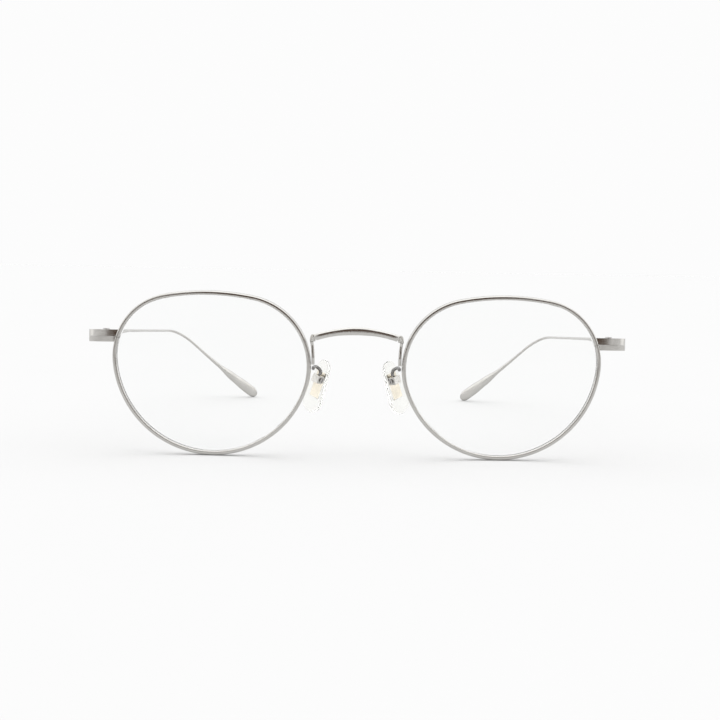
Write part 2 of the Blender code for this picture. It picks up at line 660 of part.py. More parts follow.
def make_pad_box(side, label, box_frame):
    """The clevis that the pad hangs in, open towards the nose, and the screw across it."""
    across, behind, _ = PAD_BOX
    box = add_part("pad_box_" + label, block(PAD_BOX, (0, PAD_BOX_Y, 0)), box_frame, TITANIUM)
    slot_low = PAD_BOX_Y - behind / 2 + PAD_BOX_WALL
    slot = block((PAD_BOX_SLOT, 2 * THROUGH, 2 * THROUGH), (0, slot_low + THROUGH, 0))
    boolean(box, slot, parent=box_frame)
    sideways = pad_screw_turn(side)
    boolean(box, pad_screw_bore(), parent=box_frame, matrix=sideways)

    head_low = across / 2 + KNUCKLE_GAP
    head_high = head_low + PAD_SCREW_HEAD_HEIGHT
    profile = ((0, head_high), (PAD_SCREW_HEAD, head_high), (PAD_SCREW_HEAD, head_low),
               (PAD_SCREW_RADIUS, head_low), (PAD_SCREW_RADIUS, -across / 2), (0, -across / 2))
    screw = turned("pad_screw_" + label, profile, box_frame, SCREW_STEEL, sideways)
    slot = screwdriver_slot(PAD_SCREW_HEAD, head_high)
    boolean(screw, slot, parent=box_frame, matrix=sideways)


def make_pad(side, label, rock):
    """The insert, a pierced post with a plate on it, and the soft pad round the plate."""
    plate_back = PAD_CENTRE[1] - PAD_THICK / 2 + INSERT_GAP
    post = arc((0, 0), POST_RADIUS, -math.pi / 2, -3 * math.pi / 2, 10)
    post += [(plate_back + INSERT_GAP, POST_RADIUS), (plate_back + INSERT_GAP, -POST_RADIUS)]
    upright = Matrix.Rotation(math.pi / 2, 4, "Y") @ Matrix.Rotation(math.pi / 2, 4, "Z")
    insert = add_part("pad_insert_" + label, extruded(post, POST_THICK), rock, PALE_GOLD, upright)
    plate_at = Vector((side * INSERT_X, plate_back + INSERT_SIZE[1] / 2, INSERT_Z))
    boolean(insert, block(INSERT_SIZE, plate_at), "UNION", parent=rock)
    boolean(insert, pad_screw_bore(), parent=rock, matrix=pad_screw_turn(side))

    centre = on_side(side, PAD_CENTRE)
    rings = []
    for shrink, depth in PAD_LAYERS:
        rings.append([centre + on_side(side, (x, depth, z)) for x, z in drop_outline(shrink)])
    pad = add_part("nose_pad_" + label, loft(rings), rock, CLEAR_PAD)
    wide, _, high = (size + 2 * INSERT_GAP for size in INSERT_SIZE)
    pocket_front = plate_back + INSERT_SIZE[1] + INSERT_GAP
    pocket_at = (plate_at.x, pocket_front - POCKET_DEEP / 2, plate_at.z)
    boolean(pad, block((wide, POCKET_DEEP, high), pocket_at), parent=rock)


# ---------------------------------------------------------------- the glasses

def build():
    lean = Matrix.Rotation(FRONT_LEAN, 4, "X")
    front = empty("front", (0, FRONT_Y, 0), lean)
    make_bridge(front)
    for side, label in ((1, "left"), (-1, "right")):
        eye_turn = Matrix.Rotation(side * EYE_TURN, 4, "Z")
        eye = empty("eye_" + label, (side * EYE_X, 0, EYE_HEIGHT), eye_turn, front)
        make_rim("rim_" + label, side, eye)
        make_lens("lens_" + label, side, eye)

        axis_turn = Matrix.Rotation(side * TEMPLE_TOE_IN, 4, "Z") @ Matrix.Rotation(-TEMPLE_DROOP, 4, "X")
        axis_place = (side * HINGE_X, FRONT_Y + HINGE_Y, HINGE_Z)
        hinge = empty("hinge_" + label, axis_place, axis_turn)
        swing = empty("swing_" + label, axis_place, axis_turn)
        make_lock_block(side, label, hinge, eye)
        make_hinge(side, label, hinge, swing)
        make_temple("temple_" + label, side, swing)

        pad_turn = Matrix.Rotation(-side * PAD_TILT, 4, "Y") @ Matrix.Rotation(side * PAD_SPLAY, 4, "Z")
        pivot = on_side(side, PAD_PIVOT)
        box_frame = empty("pad_box_frame_" + label, pivot, pad_turn, front)
        rock = empty("pad_rock_" + label, pivot, pad_turn, front)
        make_pad_arm("pad_arm_" + label, side, front)
        make_pad_box(side, label, box_frame)
        make_pad(side, label, rock)


build()
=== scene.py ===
import json
import math

import bmesh
import bpy
from mathutils import Matrix, Vector


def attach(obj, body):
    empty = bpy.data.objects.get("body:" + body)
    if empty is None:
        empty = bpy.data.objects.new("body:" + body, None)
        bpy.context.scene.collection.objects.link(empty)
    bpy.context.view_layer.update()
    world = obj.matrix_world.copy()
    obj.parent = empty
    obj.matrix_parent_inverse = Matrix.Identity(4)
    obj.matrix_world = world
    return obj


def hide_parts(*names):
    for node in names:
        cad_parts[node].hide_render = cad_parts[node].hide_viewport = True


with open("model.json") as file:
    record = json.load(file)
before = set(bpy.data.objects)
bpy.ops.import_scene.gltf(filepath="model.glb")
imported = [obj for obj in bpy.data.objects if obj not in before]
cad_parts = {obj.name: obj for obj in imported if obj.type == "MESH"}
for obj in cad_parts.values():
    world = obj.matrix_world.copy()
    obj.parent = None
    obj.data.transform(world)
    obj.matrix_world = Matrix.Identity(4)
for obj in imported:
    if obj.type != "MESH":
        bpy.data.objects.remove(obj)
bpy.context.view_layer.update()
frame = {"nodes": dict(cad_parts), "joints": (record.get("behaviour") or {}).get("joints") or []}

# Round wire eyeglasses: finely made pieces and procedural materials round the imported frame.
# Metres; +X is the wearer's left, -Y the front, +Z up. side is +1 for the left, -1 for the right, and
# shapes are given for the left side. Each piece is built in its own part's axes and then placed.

MM = 0.001
SIDES = ((1, "left"), (-1, "right"))

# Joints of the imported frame: where the hinge axes are, and so where the front stands.
PLACES = {joint["name"]: Vector(joint["pos_m"]) for joint in frame["joints"]}
HINGE_Y = 8.8 * MM
FRONT_Y = PLACES["temple_left_fold"].y - HINGE_Y
FRONT_LEAN = math.radians(5.4)
EYE_X, EYE_HEIGHT = 35.7 * MM, 20.0 * MM
EYE_TURN = math.radians(3.0)
TEMPLE_DROOP, TEMPLE_TOE_IN = math.radians(2.95), math.radians(1.75)
PAD_PIVOT = (9.4 * MM, 6.2 * MM, 18.6 * MM)
PAD_SPLAY, PAD_TILT = math.radians(45.0), math.radians(18.0)

# Eye shape and rim, as in the CAD, but in finer steps and with rounded edges.
BASE_RADIUS = 125.0 * MM
BOTTOM_CENTRE, BOTTOM_RADIUS = (-0.25 * MM, 4.6 * MM), 24.1 * MM
TOP_CENTRE, TOP_RADIUS = (0.4 * MM, -35.6 * MM), 55.8 * MM
OUTER_RADIUS, NASAL_RADIUS = 15.6 * MM, 16.9 * MM
SEAM_RISE, RIM_SLIT = 8.75 * MM, 0.2 * MM
SHAPE_STEP, SOFTEN_STEPS, BOX_STEPS = 0.6 * MM, 4, 5
RIM_WIDTH, RIM_DEPTH = 1.0 * MM, 1.9 * MM
GROOVE_WIDTH, GROOVE_DEPTH = 0.9 * MM, 0.45 * MM
RIM_OUTER_ROUND, RIM_INNER_ROUND, GROOVE_ROUND = 0.34 * MM, 0.34 * MM, 0.04 * MM
LENS_THICKNESS, LENS_GAP = 1.4 * MM, 0.1 * MM
LENS_RIDGE, LENS_RIDGE_WIDTH = 0.42 * MM, 0.8 * MM
# Shares of the eye's size at which a lens face has a ring.
LENS_RINGS = (1.0, 0.88, 0.74, 0.58, 0.4, 0.22, 0.08)

# Bridge.
BRIDGE_HEIGHT, BRIDGE_ARCH_RADIUS = 31.7 * MM, 31.0 * MM
BRIDGE_BAR_HALF, BRIDGE_BAR_Y = 9.2 * MM, -0.75 * MM
BAR_TALL, BAR_END_TALL, BAR_THICK = 1.9 * MM, 1.56 * MM, 1.0 * MM
BAR_EVEN_HALF = 5.0 * MM
BAR_STATIONS = 5
# (x, y, z) in mm, the direction of its tall side, height and thickness.
BRIDGE_LEG = (
    ((10.1, -0.5, 29.97), (0, 0, 1), 1.56 * MM, 0.85 * MM),
    ((10.75, 0.15, 29.75), (0, 0.3, 1), 1.5 * MM, 0.75 * MM),
    ((10.95, 0.66, 29.2), (0, 1, 1), 1.45 * MM, 0.75 * MM),
    ((10.82, 0.84, 28.2), (0, 1, 0.2), 1.0 * MM, 0.75 * MM),
    ((10.65, 0.86, 26.6), (0, 1, 0), 1.15 * MM, 0.78 * MM),
    ((10.56, 0.85, 25.0), (0, 1, 0), 1.55 * MM, 0.78 * MM),
    ((10.56, 0.85, 23.2), (0, 1, 0), 1.45 * MM, 0.75 * MM),
)
BRIDGE_STEPS = 8
BRIDGE_CURVE, BRIDGE_SIDES = 3.0, 32     # how square its oval section is, and how many sides that has
NECK_FROM, NECK_TO, NECK = 9.9 * MM, 10.22 * MM, 0.5     # the waist where the bar meets its corner
CORNER_LOW, CORNER = 28.9 * MM, 1.18

# Temples.
BLOCK_INNER = 1.2 * MM
TEMPLE_START, TEMPLE_TOP = 0.1 * MM, 1.5 * MM
TEMPLE_BUTT_THICK = 1.3 * MM
WIRE_START, WIRE_THICK = 33.0 * MM, 0.8 * MM
TEMPLE_SIZES = (
    (0.0, 3.0 * MM, TEMPLE_BUTT_THICK), (4.0 * MM, 3.0 * MM, TEMPLE_BUTT_THICK),
    (14.0 * MM, 2.0 * MM, 1.15 * MM), (24.0 * MM, 1.15 * MM, 0.95 * MM),
    (WIRE_START, WIRE_THICK, WIRE_THICK), (110.0 * MM, WIRE_THICK, WIRE_THICK),
    (120.5 * MM, 1.2 * MM, 0.95 * MM), (129.5 * MM, 2.9 * MM, 1.1 * MM),
    (135.5 * MM, 3.6 * MM, 1.2 * MM), (139.4 * MM, 3.6 * MM, 1.15 * MM),
    (142.0 * MM, 3.6 * MM, 1.15 * MM),
)
TEMPLE_LENGTH = TEMPLE_SIZES[-1][0]
TIP_ROUND, TIP_LEAST = 2.6 * MM, 0.12
TEMPLE_STEP, TIP_STEP = 1.0 * MM, 0.13 * MM
BEND_START, BEND_LENGTH, DROP_LATER = 83.4 * MM, 22.1 * MM, 3.8 * MM
EAR_INWARD, EAR_INWARD_MORE, EAR_DOWN = math.radians(30.1), math.radians(14.7), math.radians(30.85)
BUTT_ROUND, WIRE_ROUND = 0.22, 0.48

# Pad arms and nose pads.
PAD_ARM_RADIUS = 0.42 * MM
# In mm, from the rim to the pad box.
PAD_ARM_ROUTE = ((10.46, 0.1, 22.3), (10.44, 1.4, 22.35), (10.15, 2.75, 22.3), (9.7, 4.1, 21.9),
                 (9.15, 5.3, 21.2), (8.9, 5.95, 20.4), (9.08, 6.05, 19.65))
PAD_ARM_STEPS = 10
PAD_CENTRE = (1.0 * MM, 1.6 * MM, -2.3 * MM)
PAD_THICK = 1.2 * MM
PAD_LOW_RADIUS, PAD_LOW_Z = 3.4 * MM, -3.4 * MM
PAD_HIGH_RADIUS, PAD_HIGH_Z = 2.3 * MM, 4.7 * MM
PAD_ARC_STEPS = 24
# The pad's sections from its back to the side that meets the nose: how far inside its outline, and y,
# in mm. The third number is unused height, so that a smooth curve can run through them.
PAD_LAYERS = ((0.8, -0.6, 0), (0.25, -0.48, 0), (0.0, -0.15, 0), (0.12, 0.25, 0), (0.6, 0.5, 0),
              (1.6, 0.66, 0))
PAD_LAYER_STEPS = 4
INSERT_SIZE = (3.2 * MM, 0.35 * MM, 6.6 * MM)
INSERT_X, INSERT_Z, INSERT_GAP = 0.6 * MM, -1.6 * MM, 0.05 * MM
POCKET_DEEP = 1.0 * MM

# CAD nodes that get softened edges: body, edge width and material slot.
SOFTENED = (
    ("endpiece_upper", "front", 0.14 * MM, "titanium"),
    ("endpiece_lower", "front", 0.14 * MM, "titanium"),
    ("rim_lock_screw", "front", 0.06 * MM, "screw_steel"),
    ("hinge_screw", "front", 0.05 * MM, "screw_steel"),
    ("hinge_front_leaf", "front", 0.08 * MM, "titanium"),
    ("hinge_temple_leaf", "temple", 0.08 * MM, "titanium"),
    ("pad_box", "front", 0.12 * MM, "titanium"),
    ("pad_screw", "front", 0.05 * MM, "screw_steel"),
    ("pad_insert", "pad", 0.07 * MM, "pad_metal"),
)
EDGE_SEGMENTS = 3
# About the hinge: the endpieces' front faces are a little full across, and lean back below the seam.
# Between FACE_FRONT and FACE_BACK this fades out.
FACE_FRONT, FACE_BACK = -8.6 * MM, -6.8 * MM
SEAM_Z, FACE_LEAN = -0.175 * MM, math.tan(math.radians(9.0))
FACE_MIDDLE, FACE_RADIUS = -2.2 * MM, 30.0 * MM
FACE_CUTS = tuple(x * MM for x in (-5.2, -4.4, -3.6, -2.8, -2.0, -1.2, -0.4, 0.3))
SAME_PLACE = 0.0005 * MM
FLAT_ANGLE, EDGE_ANGLE, SHARP_ANGLE = math.radians(1.0), math.radians(32), math.radians(40)

# Materials: noise scales are per metre. LINE_* and CLOUD_ROUGHER change a metal's roughness.
NOISE_ROUGH, NOISE_LOW, NOISE_HIGH = 0.6, 0.3, 0.7
BRUSH_ALONG, BRUSH_DETAIL, BRUSH_BUMP = 140.0, 5.0, 0.0025 * MM
METAL_CLOUD, CLOUD_DETAIL, FLOOR_DETAIL = 330.0, 3.0, 2.0
LINE_SMOOTHER, LINE_ROUGHER, CLOUD_ROUGHER = 0.05, 0.07, 0.03
METAL_BUMP, CLEAR_BUMP = 0.6, 0.5

# Camera, floor and light.
CAMERA_LENS, CAMERA_SENSOR = 59.45, 36.0
CAMERA_DISTANCE, CAMERA_HEIGHT, CAMERA_RIGHT = 290.0 * MM, 46.5 * MM, 0.854 * MM
CAMERA_YAW, CAMERA_ROLL = math.radians(0.23), math.radians(1.02)
CAMERA_PITCH = math.radians(4.377)
CLIP_NEAR, CLIP_FAR = 0.01, 100.0
# The room's brightness rises from WHITE to SOFTBOX where a direction's height, or SIDE_SHARE of its reach
# sideways, goes from SOFT_FROM to SOFT_TO.
WHITE, SOFTBOX = 0.975, 1.9
SOFT_FROM, SOFT_TO, SIDE_SHARE = 0.40, 0.75, 0.7
FLOOR_HALF, FLOOR_COLOUR, FLOOR_ROUGH = 30.0, 0.586, 0.45
FLOOR_CLOUD, FLOOR_LIGHTER = 9.0, 1.01
# The dark card: how far ahead of the front it starts and stands up, and its height and half width.
CARD_COLOUR = (0.120, 0.080, 0.058, 1.0)
CARD_START, CARD_BEND, CARD_TOP = 125 * MM, 700 * MM, 300 * MM
CARD_HALF, CARD_LIFT = 258 * MM, 0.5 * MM


# ---------------------------------------------------------------- materials

def add_node(tree, kind, **inputs):
    """A shader node with its inputs set; an underscore in an input's name stands for a space."""
    node = tree.nodes.new("ShaderNode" + kind)
    for name, value in inputs.items():
        node.inputs[name.replace("_", " ")].default_value = value
    return node


def noise(tree, source, stretch, detail):
    """Noise over a vector output, with its axes multiplied by stretch."""
    scaled = add_node(tree, "VectorMath")
    scaled.operation = "MULTIPLY"
    scaled.inputs[1].default_value = stretch
    tree.links.new(source, scaled.inputs[0])
    texture = add_node(tree, "TexNoise", Scale=1.0, Detail=detail, Roughness=NOISE_ROUGH)
    tree.links.new(scaled.outputs[0], texture.inputs["Vector"])
    return texture.outputs[0]


def spread(tree, source, low, high):
    """Noise's usual range, moved to low to high."""
    moved = add_node(tree, "MapRange", From_Min=NOISE_LOW, From_Max=NOISE_HIGH, To_Min=low, To_Max=high)
    tree.links.new(source, moved.inputs["Value"])
    return moved.outputs["Result"]


def blend_colours(tree, factor, first, second):
    mix = add_node(tree, "Mix")
    mix.data_type = "RGBA"
    mix.inputs[6].default_value, mix.inputs[7].default_value = (*first, 1.0), (*second, 1.0)
    tree.links.new(factor, mix.inputs[0])
    return mix.outputs[2]


def new_material(name, **constants):
    material = bpy.data.materials.new(name)
    material.use_nodes = True
    shader = material.node_tree.nodes["Principled BSDF"]
    for key, value in constants.items():
        shader.inputs[key.replace("_", " ")].default_value = value
    return material, material.node_tree, shader


def bump(tree, shader, height, distance, strength):
    node = add_node(tree, "Bump", Strength=strength, Distance=distance)
    tree.links.new(height, node.inputs["Height"])
    tree.links.new(node.outputs[0], shader.inputs["Normal"])


def metal(name, worn, deep, rough, brush):
    """Brushed metal: fine lines along the piece, and slow changes of colour and polish."""
    material, tree, shader = new_material(name, Metallic=1.0)
    grain = add_node(tree, "Attribute")
    grain.attribute_name = "grain"
    lines = noise(tree, grain.outputs["Vector"], (BRUSH_ALONG, brush, brush), BRUSH_DETAIL)
    place = add_node(tree, "TexCoord").outputs["Object"]
    slow = noise(tree, place, (METAL_CLOUD,) * 3, CLOUD_DETAIL)
    colour = blend_colours(tree, spread(tree, slow, 0.0, 1.0), deep, worn)
    tree.links.new(colour, shader.inputs["Base Color"])
    both = add_node(tree, "Math")
    both.operation = "ADD"
    tree.links.new(spread(tree, lines, rough - LINE_SMOOTHER, rough + LINE_ROUGHER), both.inputs[0])
    tree.links.new(spread(tree, slow, CLOUD_ROUGHER, -CLOUD_ROUGHER), both.inputs[1])
    tree.links.new(both.outputs[0], shader.inputs["Roughness"])
    bump(tree, shader, lines, BRUSH_BUMP, METAL_BUMP)
    return material


def clear(name, tint, other_tint, index, transmission, gloss, rough, rough_spread, scale, ripple):
    """Clear plastic, with a little change in tint and polish, and faint ripples."""
    material, tree, shader = new_material(name, Metallic=0.0, IOR=index, Transmission_Weight=transmission,
                                          Specular_IOR_Level=gloss)
    place = add_node(tree, "TexCoord").outputs["Object"]
    slow = noise(tree, place, (scale,) * 3, CLOUD_DETAIL)
    tree.links.new(blend_colours(tree, slow, tint, other_tint), shader.inputs["Base Color"])
    tree.links.new(spread(tree, slow, rough, rough + rough_spread), shader.inputs["Roughness"])
    bump(tree, shader, slow, ripple, CLEAR_BUMP)
    return material


MATERIALS = {
    "titanium": metal("titanium", (0.550, 0.539, 0.516), (0.506, 0.495, 0.472), 0.18, 9000.0),
    "dark_titanium": metal("dark_titanium", (0.25, 0.245, 0.24), (0.19, 0.185, 0.18), 0.22, 9000.0),
    "screw_steel": metal("screw_steel", (0.47, 0.46, 0.45), (0.38, 0.37, 0.36), 0.24, 12000.0),
    "pad_metal": metal("pad_metal", (0.64, 0.60, 0.52), (0.56, 0.52, 0.44), 0.20, 9000.0),
    "demo_lens": clear("demo_lens", (0.985, 0.99, 0.988), (0.992, 0.994, 0.992), 1.12, 1.0, 0.0,
                       0.0, 0.012, 60.0, 0.0002 * MM),
    "clear_pad": clear("clear_pad", (0.93, 0.93, 0.90), (0.96, 0.96, 0.94), 1.28, 0.93, 0.4,
                       0.05, 0.07, 500.0, 0.004 * MM),
}


# ---------------------------------------------------------------- placing

FRONT = Matrix.Translation((0, FRONT_Y, 0)) @ Matrix.Rotation(FRONT_LEAN, 4, "X")


def on_side(side, point):
    """A point given for the left side, mirrored for the right."""
    return Vector((side * point[0], point[1], point[2]))


def eye_place(side):
    turn = Matrix.Rotation(side * EYE_TURN, 4, "Z")
    return FRONT @ Matrix.Translation((side * EYE_X, 0, EYE_HEIGHT)) @ turn


def hinge_place(side, label):
    turn = Matrix.Rotation(side * TEMPLE_TOE_IN, 4, "Z") @ Matrix.Rotation(-TEMPLE_DROOP, 4, "X")
    return Matrix.Translation(PLACES[f"temple_{label}_fold"]) @ turn


def pad_place(side):
    turn = Matrix.Rotation(-side * PAD_TILT, 4, "Y") @ Matrix.Rotation(side * PAD_SPLAY, 4, "Z")
    return FRONT @ Matrix.Translation(on_side(side, PAD_PIVOT)) @ turn


def show(mesh, name, node, body, slot, place=None):
    """Make a piece of a bmesh, in place of a CAD node."""
    if place is not None:
        mesh.transform(place)
    bmesh.ops.recalc_face_normals(mesh, faces=mesh.faces)
    data = bpy.data.meshes.new(name)
    mesh.to_mesh(data)
    mesh.free()
    data.shade_smooth()
    data.set_sharp_from_angle(angle=SHARP_ANGLE)
    data.materials.clear()
    data.materials.append(MATERIALS[slot])
    piece = bpy.data.objects.new(name, data)
    bpy.context.scene.collection.objects.link(piece)
    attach(piece, body)
    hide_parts(node)
    return piece


# ---------------------------------------------------------------- modelling helpers

def loft(rings, grains=None):
    """A skin over rings of equally many points, closed at both ends. grains gives each point's place
    along and across a metal piece, which the brushing follows."""
    mesh = bmesh.new()
    layer = mesh.verts.layers.float_vector.new("grain") if grains else None
    loops = [[mesh.verts.new(point) for point in ring] for ring in rings]
    for loop, grain in zip(loops, grains or ()):
        for vert, value in zip(loop, grain):
            vert[layer] = value
    for near, far in zip(loops, loops[1:]):
        for k in range(len(near)):
            after = (k + 1) % len(near)
            mesh.faces.new((near[k], near[after], far[after], far[k]))
    mesh.faces.new(loops[0])
    mesh.faces.new(loops[-1])
    return mesh


def soften(outline, rounds):
    """An outline with its corners turned into short curves; rounds says how far each one is cut."""
    points = [Vector(p) for p in outline]
    result = []
    for k, (corner, cut) in enumerate(zip(points, rounds)):
        before, after = points[k - 1], points[(k + 1) % len(points)]
        start = corner + (before - corner).normalized() * cut
        end = corner + (after - corner).normalized() * cut
        for step in range(SOFTEN_STEPS + 1):
            t = step / SOFTEN_STEPS
            result.append(start * (1 - t) ** 2 + corner * 2 * t * (1 - t) + end * t ** 2)
    return result


def rounded_box(tall, thick, share):
    """(across, up) points round an upright box with corners of radius share times its smaller side."""
    radius = share * min(tall, thick)
    points = []
    for quarter in range(4):
        right = 1 if quarter in (0, 3) else -1
        up = 1 if quarter < 2 else -1
        centre = Vector((right * (thick / 2 - radius), up * (tall / 2 - radius)))
        for step in range(BOX_STEPS + 1):
            angle = (quarter + step / BOX_STEPS) * math.pi / 2
            points.append(centre + radius * Vector((math.cos(angle), math.sin(angle))))
    return points


def oval(tall, thick):
    """(across, up) points round a squared oval."""
    points = []
    power = 2 / BRIDGE_CURVE
    for k in range(BRIDGE_SIDES):
        angle = (k + 0.5) / BRIDGE_SIDES * 2 * math.pi
        across, up = math.cos(angle), math.sin(angle)
        points.append(Vector((math.copysign(abs(across) ** power, across) * thick / 2,
                              math.copysign(abs(up) ** power, up) * tall / 2)))
    return points


def strap_ring(centre, along, up, outline):
    """An outline's points about centre, square to along and with its tall side nearest to up."""
    along = along.normalized()
    tall_way = (up - along * up.dot(along)).normalized()
    thick_way = along.cross(tall_way)
    return [centre + thick_way * a + tall_way * b for a, b in outline]


def lengths(centres):
    """How far along each of the points lies."""
    result = [0.0]
    for start, end in zip(centres, centres[1:]):
        result.append(result[-1] + (end - start).length)
    return result


def smooth_route(points, steps):
    """A Catmull-Rom curve through the points, with steps pieces between each two."""
    route = [Vector(p) for p in points]
    ends = [2 * route[0] - route[1]] + route + [2 * route[-1] - route[-2]]
    result = []
    for a, b, c, d in zip(ends, ends[1:], ends[2:], ends[3:]):
        for k in range(steps):
            t = k / steps
            result.append(0.5 * (2 * b + (c - a) * t + (2 * a - 5 * b + 4 * c - d) * t ** 2
                                 + (3 * b - a - 3 * c + d) * t ** 3))
    return result + [route[-1]]


def ease(share):
    """A smooth step from 0 to 1."""
    share = min(max(share, 0.0), 1.0)
    return share * share * (3 - 2 * share)


# ---------------------------------------------------------------- rims and lenses

def corner_centre(radius, side):
    """The centre of the arc that joins the top and bottom arcs on one side."""
    bottom, top = Vector(BOTTOM_CENTRE), Vector(TOP_CENTRE)
    to_bottom, to_top = BOTTOM_RADIUS - radius, TOP_RADIUS - radius
    gap = (top - bottom).length
    along = (to_bottom ** 2 - to_top ** 2 + gap ** 2) / (2 * gap)
    unit = (top - bottom) / gap
    off = Vector((-unit.y, unit.x)) * math.sqrt(to_bottom ** 2 - along ** 2)
    choices = (bottom + unit * along + off, bottom + unit * along - off)
    return max(choices, key=lambda centre: side * centre.x)


def eye_stations():
    """(centre, radius, angle) round the eye, from above the seam, over the top and back below it."""
    bottom, top = Vector(BOTTOM_CENTRE), Vector(TOP_CENTRE)
    outer, nasal = corner_centre(OUTER_RADIUS, 1), corner_centre(NASAL_RADIUS, -1)
    seam = math.asin((SEAM_RISE - outer.y) / OUTER_RADIUS)
    slit = RIM_SLIT / 2 / OUTER_RADIUS
    turn = 2 * math.pi

    def heading(start, end):
        step = end - start
        return math.atan2(step.y, step.x) % turn

    from_nasal = heading(bottom, nasal)
    to_outer = from_nasal + (heading(bottom, outer) - from_nasal) % turn
    arcs = (
        (outer, OUTER_RADIUS, seam + slit, heading(top, outer)),
        (top, TOP_RADIUS, heading(top, outer), heading(top, nasal)),
        (nasal, NASAL_RADIUS, heading(top, nasal), from_nasal),
        (bottom, BOTTOM_RADIUS, from_nasal, to_outer),
        (outer, OUTER_RADIUS, to_outer, seam - slit + turn),
    )
    stations = []
    for centre, radius, start, end in arcs:
        steps = max(2, round(radius * (end - start) / SHAPE_STEP))
        for k in range(1 if stations else 0, steps + 1):
            stations.append((centre, radius, start + (end - start) * k / steps))
    return stations


def eye_ring(offset, scale, depth):
    """Points round the eye, moved out by offset, shrunk by scale, and depth behind the sphere."""
    ring = []
    for centre, radius, angle in eye_stations():
        x = (centre.x + (radius + offset) * math.cos(angle)) * scale
        z = (centre.y + (radius + offset) * math.sin(angle)) * scale
        ring.append((x, (x * x + z * z) / (2 * BASE_RADIUS) + depth, z))
    return ring


def make_rim(side, label):
    half, deep, flank = RIM_WIDTH / 2, RIM_DEPTH / 2, GROOVE_WIDTH / 2
    outline = ((half, -deep), (half, deep), (-half, deep), (-half, flank), (GROOVE_DEPTH - half, 0),
               (-half, -flank), (-half, -deep))
    rounds = (RIM_OUTER_ROUND, RIM_OUTER_ROUND, RIM_INNER_ROUND, GROOVE_ROUND, GROOVE_ROUND, GROOVE_ROUND,
              RIM_INNER_ROUND)
    section = soften(outline, rounds)
    rings, walked = [], lengths([Vector(p) for p in eye_ring(0.0, 1.0, 0.0)])
    for centre, radius, angle in eye_stations():
        x, z = centre.x + radius * math.cos(angle), centre.y + radius * math.sin(angle)
        behind = (x * x + z * z) / (2 * BASE_RADIUS)
        rings.append([on_side(side, (x + out * math.cos(angle), behind + back, z + out * math.sin(angle)))
                      for out, back in section])
    grains = [[(way, out, back) for out, back in section] for way in walked]
    show(loft(rings, grains), f"rim_{label}_wire", f"rim_{label}", "front", "titanium", eye_place(side))


def make_lens(side, label):
    body = -RIM_WIDTH / 2 - LENS_GAP
    half, flank = LENS_THICKNESS / 2, LENS_RIDGE_WIDTH / 2
    layers = [(body, scale, -half) for scale in reversed(LENS_RINGS)]
    layers += [(body, 1.0, -flank), (body + LENS_RIDGE, 1.0, 0.0), (body, 1.0, flank)]
    layers += [(body, scale, half) for scale in LENS_RINGS]
    rings = [[on_side(side, point) for point in eye_ring(*layer)] for layer in layers]
    lens = show(loft(rings), f"lens_{label}_clear", f"lens_{label}", "front", "demo_lens",
                eye_place(side))
    lens.visible_diffuse = lens.visible_shadow = False


# ---------------------------------------------------------------- bridge

def make_bridge():
    """One strap from the right leg, over the bar, to the left leg, with a neck at each bar end."""
    half = []
    for k in range(BAR_STATIONS):
        x = BRIDGE_BAR_HALF * k / (BAR_STATIONS - 1)
        share = min(1.0, x / BAR_EVEN_HALF)
        tall = BAR_TALL + (BAR_END_TALL - BAR_TALL) * share ** 2
        z = BRIDGE_HEIGHT - x * x / (2 * BRIDGE_ARCH_RADIUS)
        half.append((Vector((x, BRIDGE_BAR_Y, z)), Vector((0, 0, 1)), tall, BAR_THICK))
    half += [(Vector(place) * MM, Vector(up), tall, thick) for place, up, tall, thick in BRIDGE_LEG]
    mirrored = [(on_side(-1, place), up, tall, thick) for place, up, tall, thick in reversed(half[1:])]
    stations = mirrored + half
    centres = smooth_route([station[0] for station in stations], BRIDGE_STEPS)
    walked = lengths(centres)
    rings, grains = [], []
    for k, centre in enumerate(centres):
        first = min(k // BRIDGE_STEPS, len(stations) - 2)
        share = k / BRIDGE_STEPS - first
        _, up, tall, thick = stations[first]
        _, next_up, next_tall, next_thick = stations[first + 1]
        before, after = centres[max(k - 1, 0)], centres[min(k + 1, len(centres) - 1)]
        waist = 1.0
        if abs(centre.x) > NECK_FROM and centre.z > CORNER_LOW:
            waist = NECK if abs(centre.x) < NECK_TO else CORNER
        outline = oval((tall + (next_tall - tall) * share) * waist,
                       (thick + (next_thick - thick) * share) * waist)
        rings.append(strap_ring(centre, after - before, up.lerp(next_up, share), outline))
        grains.append([(walked[k], a, b) for a, b in outline])
    show(loft(rings, grains), "bridge_strap", "bridge", "front", "titanium", FRONT)


# ---------------------------------------------------------------- temples

def temple_size(distance):
    """A temple's height and thickness at a distance from its butt."""
    for (start, tall, thick), (end, next_tall, next_thick) in zip(TEMPLE_SIZES, TEMPLE_SIZES[1:]):
        if distance <= end:
            share = ease((distance - start) / (end - start))
            height = tall + (next_tall - tall) * share
            thickness = thick + (next_thick - thick) * share
            break
    to_tip = TEMPLE_LENGTH - distance
    if to_tip < TIP_ROUND:
        round_off = math.sqrt(max(1 - (1 - to_tip / TIP_ROUND) ** 2, 0.0))
        height *= max(round_off, TIP_LEAST)
        thickness *= (1 + round_off) / 2
    return height, thickness


def temple_direction(distance):
    """Which way a temple runs: straight back, then eased inwards and down."""
    bend = ease((distance - BEND_START) / BEND_LENGTH)
    after = max(0.0, distance - BEND_START - BEND_LENGTH) / (TEMPLE_LENGTH - BEND_START - BEND_LENGTH)
    inward = EAR_INWARD * bend + EAR_INWARD_MORE * after
    down = EAR_DOWN * ease((distance - BEND_START - DROP_LATER) / BEND_LENGTH)
    return Vector((-math.sin(inward) * math.cos(down), math.cos(inward) * math.cos(down), -math.sin(down)))


